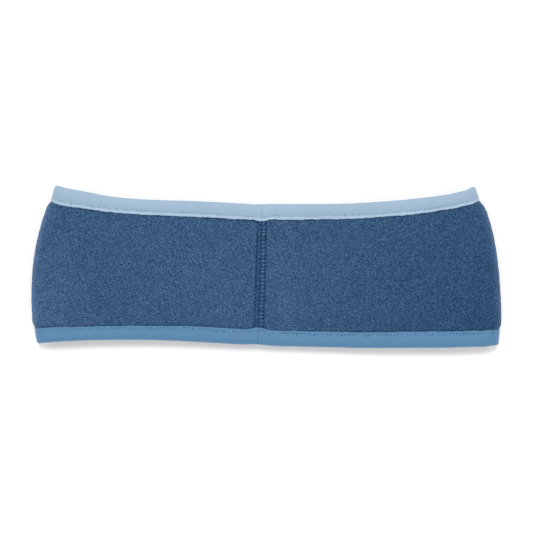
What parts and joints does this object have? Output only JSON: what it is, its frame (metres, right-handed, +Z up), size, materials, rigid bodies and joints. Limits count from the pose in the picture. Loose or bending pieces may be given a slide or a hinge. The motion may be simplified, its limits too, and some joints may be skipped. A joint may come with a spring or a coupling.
{
  "type": "ear warmer headband",
  "caption": "Wide brushed fleece headband, laid flat and doubled, bound along both edges with stretch tape and closed by a flat seam at the back.",
  "frame": {"origin": "on the surface the band lies on, under the middle of its outline", "axes": "+X across the two folds, +Y towards the edge worn uppermost, +Z up through the two layers"},
  "size_m": [0.245, 0.0846, 0.0156],
  "materials": {
    "fleece": "brushed, matte",
    "pale_tape": "smooth knit with a soft sheen",
    "blue_tape": "smooth knit with a soft sheen",
    "seam_thread": "spun thread"
  },
  "bodies": {
    "root": {"fleece_band": "fleece", "upper_binding": "pale_tape", "lower_binding": "blue_tape", "seam_outer": "seam_thread", "seam_inner": "seam_thread"}
  },
  "joints": []
}
